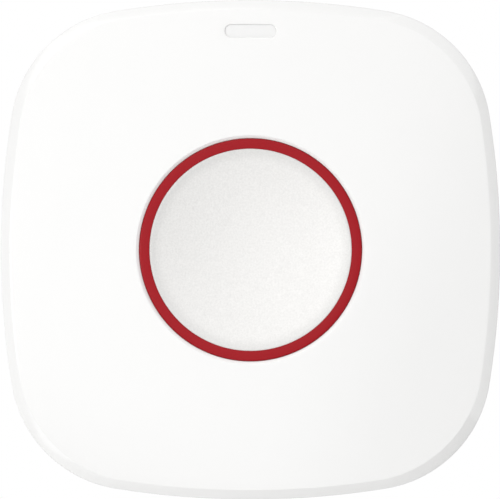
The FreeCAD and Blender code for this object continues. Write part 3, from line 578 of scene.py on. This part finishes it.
def button_ring():
    """Red ring turned in one piece with its stop flange, web and post."""
    part = Part("red_ring")
    ease, post_root, skirt_root, pocket_root = 0.15, 0.2, 0.3, 0.1
    outer_ease, inner_ease = 0.22, 0.05
    line = eased([
        (HUB_RADIUS, RING_LOW[2], 0), (POST_RADIUS, RING_LOW[2], ease),
        (POST_RADIUS, WEB_BACK, post_root), (SKIRT_BORE, WEB_BACK, skirt_root),
        (SKIRT_BORE, FLANGE_BACK, ease), (FLANGE_RADIUS, FLANGE_BACK, ease),
        (FLANGE_RADIUS, FLANGE_FRONT, ease), (RING_EDGE, FLANGE_FRONT, ease),
        (RING_EDGE, RING_FRONT, outer_ease), (POCKET_RADIUS, RING_FRONT, inner_ease),
        (POCKET_RADIUS, WEB_FRONT, pocket_root), (HUB_RADIUS, WEB_FRONT, 0),
    ])
    back, front = part.skin(lathe(line))
    part.fan(back, (0, 0, RING_LOW[2]))
    part.fan(front, (0, 0, WEB_FRONT))
    key_root, key_inset = 0.4, 0.02
    for side in (-1, 1):
        inner = side * (FLANGE_RADIUS - key_root)
        outer = side * KEY_REACH
        corners = [(inner, -KEY_HALF), (outer, -KEY_HALF), (outer, KEY_HALF), (inner, KEY_HALF)]
        low, high = part.skin([[(x, z, depth) for x, z in corners]
                               for depth in (FLANGE_BACK + key_inset, FLANGE_FRONT - key_inset)])
        part.faces += [tuple(low), tuple(high)]
    part.make("button", RED, stands_for=("button_ring",))


def button_cap():
    """White cap, dished like a shallow bowl, with a narrow rim and rounded edges."""
    part = Part("dished_cap")
    radius, back_level, rim = CAP_RADIUS, CAP_LOW[2], CAP_HIGH[2]
    edge, back_edge, rim_width, drop, steps = 0.02, 0.1, 0.2, 1.4, 48
    dish = radius - rim_width
    ball = (dish ** 2 + drop ** 2) / (2 * drop)
    line = [(HUB_RADIUS, back_level), (radius - back_edge, back_level),
            (radius, back_level + back_edge)]
    line += [(radius - edge + edge * math.cos(angle), rim - edge + edge * math.sin(angle))
             for angle in QUARTER]
    for step in range(steps):
        reach = dish * (1 - step / steps)
        line.append((reach, rim - drop + ball - math.sqrt(ball ** 2 - reach ** 2)))
    back, front = part.skin(lathe(line))
    part.fan(back, (0, 0, back_level))
    part.fan(front, (0, 0, rim - drop))
    part.make("button", CAP, stands_for=("button_cap",))


def light_pipe():
    """Milky bar that fills the slot, with a rounded face and a square flange behind it."""
    part = Part("slot_bar")
    ease = 0.015
    rows = [stadium(0, PIPE_LOW[2])]
    rows += [stadium(-ease * (1 - math.cos(angle)), PIPE_HIGH[2] - ease + ease * math.sin(angle))
             for angle in QUARTER]
    back, front = part.skin(rows)
    part.cover(back)
    part.cover(front)
    foot = [(PIPE_LOW[0], PIPE_LOW[1]), (PIPE_HIGH[0], PIPE_LOW[1]),
            (PIPE_HIGH[0], PIPE_HIGH[1]), (PIPE_LOW[0], PIPE_HIGH[1])]
    low, high = part.skin([[(x, z, depth) for x, z in foot]
                           for depth in (CEILING - PIPE_FOOT, CEILING)])
    part.faces += [tuple(low), tuple(high)]
    part.make("housing", PIPE, stands_for=("light_pipe",))


front_cover()
button_ring()
button_cap()
light_pipe()


def eased_copy(node, name, paint, ease, body="housing"):
    """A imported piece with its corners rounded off, in place of the sharp one."""
    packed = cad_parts[node]
    mesh = packed.data.copy()
    mesh.name = name
    mesh.transform(packed.matrix_world)
    work = bmesh.new()
    work.from_mesh(mesh)
    flat, bent = math.radians(1), math.radians(40)
    bmesh.ops.remove_doubles(work, verts=work.verts, dist=SAME_CORNER)
    bmesh.ops.dissolve_limit(work, angle_limit=flat, verts=work.verts, edges=work.edges)
    corners = [edge for edge in work.edges if edge.calc_face_angle(0) > bent]
    bmesh.ops.bevel(work, geom=corners, offset=ease * MM, offset_type="OFFSET", segments=2,
                    profile=0.5, affect="EDGES", clamp_overlap=True)
    bmesh.ops.triangulate(work, faces=work.faces)
    work.to_mesh(mesh)
    work.free()
    mesh.materials.clear()
    for face in mesh.polygons:
        face.material_index = 0
    piece = shown(name, mesh, paint)
    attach(piece, body)
    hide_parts(node)


def cross(across, up, reach, half, depth):
    """A row round a cross-shaped recess."""
    row = []
    for quarter in range(4):
        turn = quarter * TURN / 4
        for x, z in ((reach, -half), (reach, half), (half, half)):
            row.append((across + x * math.cos(turn) - z * math.sin(turn),
                        up + x * math.sin(turn) + z * math.cos(turn), depth))
    return row


def screw(part, across, up, seat, end):
    """Pan head screw driven from the wall side, with a cross recess and a cut thread."""
    top = seat - HEAD_HEIGHT
    shoulder, flat_edge, flat = 0.35, 1.25, 1.15
    seat_ease, shoulder_ease, top_ease = 0.08, 0.3, 0.4
    head = eased([(THREAD_ROOT, seat, 0), (HEAD_RADIUS, seat, seat_ease),
                  (HEAD_RADIUS, top + shoulder, shoulder_ease),
                  (flat_edge, top, top_ease), (flat, top, 0)])
    foot, rim = part.skin([ring_of(across, up, radius, depth) for radius, depth in head])
    mouth, floor_of_cross, recess = (0.95, 0.24), (0.6, 0.14), 0.75
    upper, lower = part.skin([cross(across, up, *mouth, top),
                              cross(across, up, *floor_of_cross, top + recess)])
    part.cover(rim, (upper,))
    part.cover(lower)

    tip, tip_radius, tip_height = 0.4, 0.35, 0.05
    rows_a_turn, run_in, run_out, around, flank = 8, 8, 4, 48, 3.2
    length = end - tip - seat
    steps = int(length / THREAD_PITCH * rows_a_turn)
    rows = []
    for step in range(1, steps + 1):
        depth = seat + length * step / steps
        fade = min(1.0, step / run_in, (steps + 1 - step) / run_out)
        row = []
        for spot in range(around):
            swing = (spot / around - (depth - seat) / THREAD_PITCH) % 1.0
            crest = max(0.0, 1 - abs(swing - 0.5) * flank) * fade
            radius = THREAD_ROOT + (SCREW_RADIUS - THREAD_ROOT) * crest
            angle = TURN * spot / around
            row.append((across + radius * math.cos(angle), up + radius * math.sin(angle), depth))
        rows.append(row)
    rows.append(ring_of(across, up, tip_radius, end - tip_height))
    first, last = part.skin(rows)
    part.band(foot, first)
    part.fan(last, (across, up, end))


def screws(node, name, places):
    """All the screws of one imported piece. They reach from their heads' tops to its far side."""
    part = Part(name)
    low, high = limits(node)
    for across, up in places:
        screw(part, across, up, low[2] + HEAD_HEIGHT, high[2])
    part.make("housing", ZINC, stands_for=(node,))


def coin_cell():
    """Button cell: a plated can, a crimped edge and a narrower cap towards the board."""
    part = Part("button_cell")
    low, high = limits("coin_cell")
    up = (low[1] + high[1]) / 2
    radius, back, front = high[0], low[2], high[2]
    can_ease, crimp_ease, lip_ease, groove_ease, lid_ease = 0.5, 0.3, 0.15, 0.05, 0.2
    crimp_drop, lip_in, lip_drop = 0.45, 0.75, 0.15
    groove_out, groove_in, groove_drop, lid_in, around = 0.95, 1.3, 0.4, 1.45, 128
    line = eased([
        (HUB_RADIUS, back, 0), (radius, back, can_ease), (radius, front - crimp_drop, crimp_ease),
        (radius - lip_in, front - lip_drop, lip_ease),
        (radius - groove_out, front - groove_drop, groove_ease),
        (radius - groove_in, front - groove_drop, groove_ease),
        (radius - lid_in, front, lid_ease), (HUB_RADIUS, front, 0)])
    behind, ahead = part.skin([ring_of(0, up, r, depth, around) for r, depth in line])
    part.fan(behind, (0, up, back))
    part.fan(ahead, (0, up, front))
    part.make("housing", CELL, stands_for=("coin_cell",))


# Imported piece, name, paint, and how far its edges are rounded
EASED = (
    ("rear_cover", "rear_shell", HOUSING, 0.15), ("wall_plate", "hanging_plate", PLATE, 0.15),
    ("status_led", "led_body", LENS, 0.10), ("circuit_board", "board", GREEN, 0.08),
    ("switch_body", "switch_base", BLACK, 0.12), ("switch_frame", "switch_sheet", STEEL, 0.06),
    ("microcontroller", "control_chip", BLACK, 0.10), ("radio_chip", "radio_module", BLACK, 0.08),
    ("crystal", "crystal_can", STEEL, 0.20), ("capacitors", "chip_capacitors", CERAMIC, 0.08),
    ("resistors", "chip_resistors", BLACK, 0.06), ("antenna", "antenna_strip", STEEL, 0.08),
    ("positive_contact", "cell_bridge", STEEL, 0.06),
    ("negative_contact", "cell_cross", STEEL, 0.06),
)
for node, name, paint, ease in EASED:
    eased_copy(node, name, paint, ease)
eased_copy("switch_stem", "plunger", BLACK, 0.12, body="switch_plunger")
coin_cell()
screws("board_screws", "pillar_screws", SCREW_PLACES)
screws("case_screw", "locking_screw", ((0.0, TOWER_UP),))


# Stage: a pale floor under the object, and a white studio round it

def floor():
    """A plain pale floor, well below the object."""
    mesh = bpy.data.meshes.new("floor")
    half, level = 600 * MM, -350 * MM
    corners = [(-half, -half, level), (half, -half, level), (half, half, level),
               (-half, half, level)]
    mesh.from_pydata(corners, [], [(0, 1, 2, 3)])
    paint, _, shader = tree_of("floor_pale")
    shader.inputs["Base Color"].default_value = (0.85, 0.85, 0.85, 1.0)
    shader.inputs["Roughness"].default_value = 0.8
    mesh.materials.append(paint)
    piece = bpy.data.objects.new("floor", mesh)
    bpy.context.scene.collection.objects.link(piece)


def white_world(strength):
    """White to the camera and in reflections, and a plain pale light on the object."""
    world = bpy.data.worlds.new("white_studio")
    world.use_nodes = True
    bpy.context.scene.world = world
    tree = world.node_tree
    tree.nodes.clear()
    link = tree.links.new
    path = add_node(tree, "ShaderNodeLightPath")
    seen = path.outputs["Is Camera Ray"]
    for kind in ("Is Glossy Ray", "Is Transmission Ray"):
        either = add_node(tree, "ShaderNodeMath", operation="MAXIMUM")
        link(seen, either.inputs[0])
        link(path.outputs[kind], either.inputs[1])
        seen = either.outputs[0]
    level = add_node(tree, "ShaderNodeMapRange")
    level.inputs["To Min"].default_value = strength
    level.inputs["To Max"].default_value = 1.0
    link(seen, level.inputs["Value"])
    light = add_node(tree, "ShaderNodeBackground")
    light.inputs["Color"].default_value = (1.0, 1.0, 1.0, 1.0)
    link(level.outputs["Result"], light.inputs["Strength"])
    out = add_node(tree, "ShaderNodeOutputWorld")
    link(light.outputs[0], out.inputs["Surface"])


def ray(azimuth, lean, far):
    """A place as (across, up, front): so far away, leaning so much from straight ahead."""
    turn, tip = math.radians(azimuth), math.radians(lean)
    return (far * math.sin(tip) * math.cos(turn), far * math.sin(tip) * math.sin(turn),
            far * math.cos(tip))


def softbox(name, place, size, glow, turn=0.0, aimed=True, soft=0.0):
    """A lamp, placed in metres from the button, whose glow is 1 where it looks white.

    It faces the button, or the wall where it isn't aimed. It fades out towards its edges over
    the share of its half width given by soft. Turn leans it round its own axis, in degrees."""
    across, up, front = place
    width, height = size
    data = bpy.data.lights.new(name, "AREA")
    data.shape = "RECTANGLE"
    data.size, data.size_y = width, height
    data.energy = glow * math.pi * width * height
    if soft:
        fade_edges(data, soft)
    lamp = bpy.data.objects.new(name, data)
    lamp.visible_camera = False
    lamp.location = (across, -front, up)
    way = Vector((-across, front, -up)) if aimed else Vector((0, 1, 0))
    facing = way.to_track_quat("-Z", "Y")
    lamp.rotation_euler = (facing @ Quaternion((0, 0, 1), math.radians(turn))).to_euler()
    bpy.context.scene.collection.objects.link(lamp)


def fade_edges(data, soft):
    """Makes a lamp's glow fade smoothly towards its edges."""
    data.use_nodes = True
    tree = data.node_tree
    link = tree.links.new
    emission = tree.nodes["Emission"]
    where = add_node(tree, "ShaderNodeNewGeometry")
    parts = add_node(tree, "ShaderNodeSeparateXYZ")
    link(where.outputs["Parametric"], parts.inputs[0])
    shares = []
    for axis in ("X", "Y"):
        off = add_node(tree, "ShaderNodeMath", operation="SUBTRACT")
        off.inputs[1].default_value = 0.5
        link(parts.outputs[axis], off.inputs[0])
        reach = add_node(tree, "ShaderNodeMath", operation="ABSOLUTE")
        link(off.outputs[0], reach.inputs[0])
        fade = add_node(tree, "ShaderNodeMapRange", interpolation_type="SMOOTHSTEP")
        fade.inputs["From Min"].default_value = 0.5
        fade.inputs["From Max"].default_value = 0.5 - 0.5 * soft
        link(reach.outputs[0], fade.inputs["Value"])
        shares.append(fade.outputs["Result"])
    both = add_node(tree, "ShaderNodeMath", operation="MULTIPLY")
    link(shares[0], both.inputs[0])
    link(shares[1], both.inputs[1])
    link(both.outputs[0], emission.inputs["Strength"])


def camera():
    """Looks straight at the button, with the housing filling the picture."""
    lens, sensor, far_clip = 250.0, 36.0, 50
    picture, pixel = 500, 0.13018       # width in pixels, and a pixel at the front plane
    front_plane, aside, above = 13.6, -0.073, 0.037     # a touch off the button's axis
    away = lens * picture * pixel / sensor
    data = bpy.data.cameras.new("camera")
    data.lens = lens
    data.sensor_width = sensor
    data.clip_end = far_clip
    view = bpy.data.objects.new("camera", data)
    view.location = (aside * MM, -(front_plane + away) * MM, above * MM)
    view.rotation_euler = (math.pi / 2, 0, 0)
    bpy.context.scene.collection.objects.link(view)
    bpy.context.scene.camera = view


floor()
white_world(strength=0.378)
softbox("front_box", ray(134, 14.5, 1.3), (1.38, 1.4), glow=0.84, turn=-18, soft=0.4)
softbox("key_light", ray(185, 46, 1.2), (0.3, 0.3), glow=10.5)
softbox("top_left_box", (-0.79, 1.27, 0.8), (1.8, 1.3), glow=1.1, turn=5.0, aimed=False)
softbox("top_right_box", ray(55, 60, 1.2), (0.9, 0.9), glow=0.75)
softbox("right_box", ray(-10, 65, 1.2), (0.9, 1.2), glow=0.38)
softbox("top_box", ray(100, 76, 1.2), (1.2, 0.8), glow=0.6)
softbox("low_front_box", ray(-88, 26, 1.2), (0.35, 0.2), glow=1.7)
softbox("low_box", (-0.198, -0.254, 0.2), (0.35, 0.14), glow=1.45, turn=5.0, aimed=False)
camera()
bpy.context.scene.view_settings.view_transform = "Standard"
